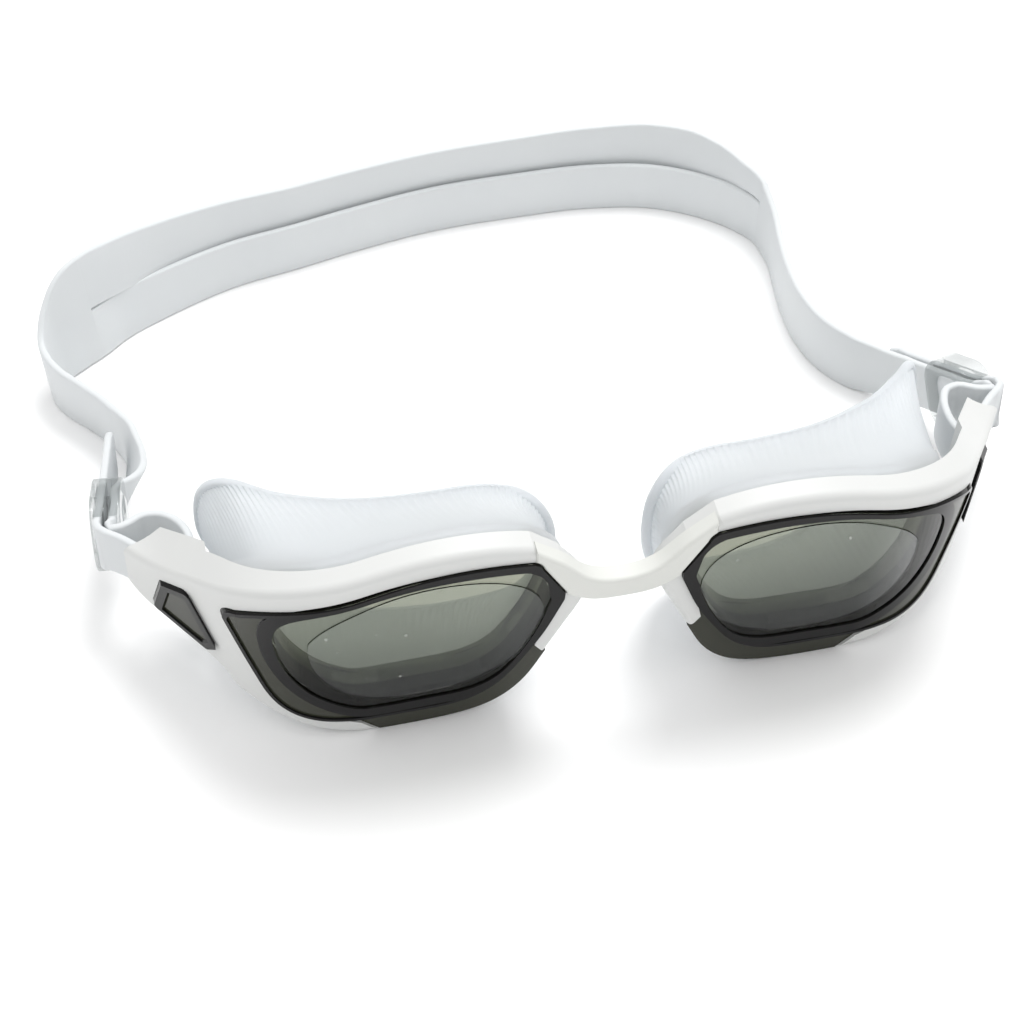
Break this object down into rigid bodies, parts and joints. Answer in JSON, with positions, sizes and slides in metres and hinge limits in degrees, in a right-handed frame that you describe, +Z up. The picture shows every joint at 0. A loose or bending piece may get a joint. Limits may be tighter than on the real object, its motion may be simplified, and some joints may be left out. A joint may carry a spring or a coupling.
{
  "type": "swim goggles",
  "caption": "Curved-frame swim goggles with tinted cup lenses, soft face gaskets, a nose bridge and a split head strap on slide buckles, laid out on a table",
  "frame": {"origin": "On the table, below the middle of the whole object as it lies", "axes": "+X across the face, from the left eyepiece to the right one as seen from the front; +Y from the lenses to the back of the head strap; +Z up from the table"},
  "size_m": [0.1816, 0.1495, 0.0477],
  "materials": {
    "frame_plastic": "satin white moulded plastic",
    "tinted_lens": "dark olive tinted polycarbonate",
    "black_border": "glossy black",
    "film": "thin clear film",
    "gasket_silicone": "translucent silicone, mass taken as rubber",
    "clear_plastic": "clear moulded polycarbonate",
    "bridge_plastic": "satin white flexible plastic",
    "strap_silicone": "matte silicone"
  },
  "bodies": {
    "eyepieces": {"frame_left": "frame_plastic", "lens_left": "tinted_lens", "lens_rim_left": "black_border", "lens_film_left": "film", "gasket_left": "gasket_silicone", "side_window_left": "tinted_lens", "side_window_trim_left": "black_border", "strap_loop_left": "strap_silicone", "frame_right": "frame_plastic", "lens_right": "tinted_lens", "lens_rim_right": "black_border", "lens_film_right": "film", "gasket_right": "gasket_silicone", "side_window_right": "tinted_lens", "side_window_trim_right": "black_border", "strap_loop_right": "strap_silicone", "nose_bridge": "bridge_plastic"},
    "head_strap": {"strap": "strap_silicone", "strap_tail_left": "strap_silicone", "strap_tail_right": "strap_silicone"},
    "upper_band": {"strap_upper_band": "strap_silicone"},
    "slide_left": {"buckle_left": "clear_plastic"},
    "slide_right": {"buckle_right": "clear_plastic"}
  },
  "joints": [
    {"name": "strap_swing", "type": "hinge", "parent": "eyepieces", "child": "head_strap", "pos_m": [0.0026, -0.04, 0.0203], "axis": [1, 0, 0], "range_deg": [0, 35]},
    {"name": "buckle_left_slide", "type": "slide", "parent": "head_strap", "child": "slide_left", "axis": [0.1171, 0.9541, -0.2756], "range_m": [0, 0.008]},
    {"name": "buckle_right_slide", "type": "slide", "parent": "head_strap", "child": "slide_right", "axis": [-0.2845, 0.8755, -0.3907], "range_m": [0, 0.008]},
    {"name": "upper_band_spread", "type": "hinge", "parent": "head_strap", "child": "upper_band", "pos_m": [-0.0848, 0.0423, 0.024], "axis": [0.9979, 0.0492, -0.0426], "range_deg": [0, 25]}
  ]
}
